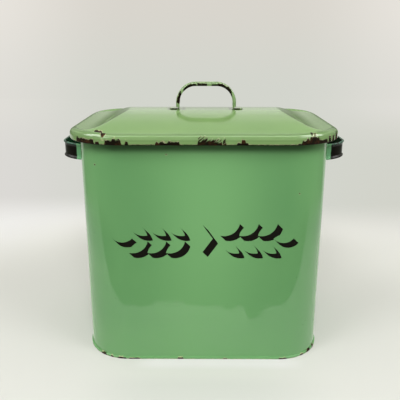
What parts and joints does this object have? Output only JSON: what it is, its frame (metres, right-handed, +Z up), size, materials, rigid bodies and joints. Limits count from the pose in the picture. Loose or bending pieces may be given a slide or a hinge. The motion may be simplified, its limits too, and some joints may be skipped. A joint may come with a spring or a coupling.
{
  "type": "bread box",
  "caption": "Upright enamelled steel bread bin with rounded corners, strap side handles and a lift-off vaulted lid with a strap handle.",
  "frame": {"origin": "middle of the base, on the surface it stands on", "axes": "+Z up; +X to the right of a person facing the front; -Y out of the decorated front"},
  "size_m": [0.355, 0.239, 0.3342],
  "materials": {
    "green_enamel": "glossy vitreous enamel on steel sheet",
    "lid_enamel": "glossy vitreous enamel, chipped along the edges",
    "black_enamel": "black enamel on the grips, green at the welded ends",
    "steel_wire": "steel wire closed in the curled rims"
  },
  "bodies": {
    "body": {"body_wall": "green_enamel", "body_rim_wire": "steel_wire", "base_pan": "green_enamel", "side_handle_left": "black_enamel", "side_handle_right": "black_enamel"},
    "lid": {"lid_shell": "lid_enamel", "lid_rim_wire": "steel_wire", "lid_handle": "lid_enamel"}
  },
  "joints": [
    {"name": "lid_lift", "type": "slide", "parent": "body", "child": "lid", "axis": [0, 0, 1], "range_m": [0, 0.15]}
  ]
}
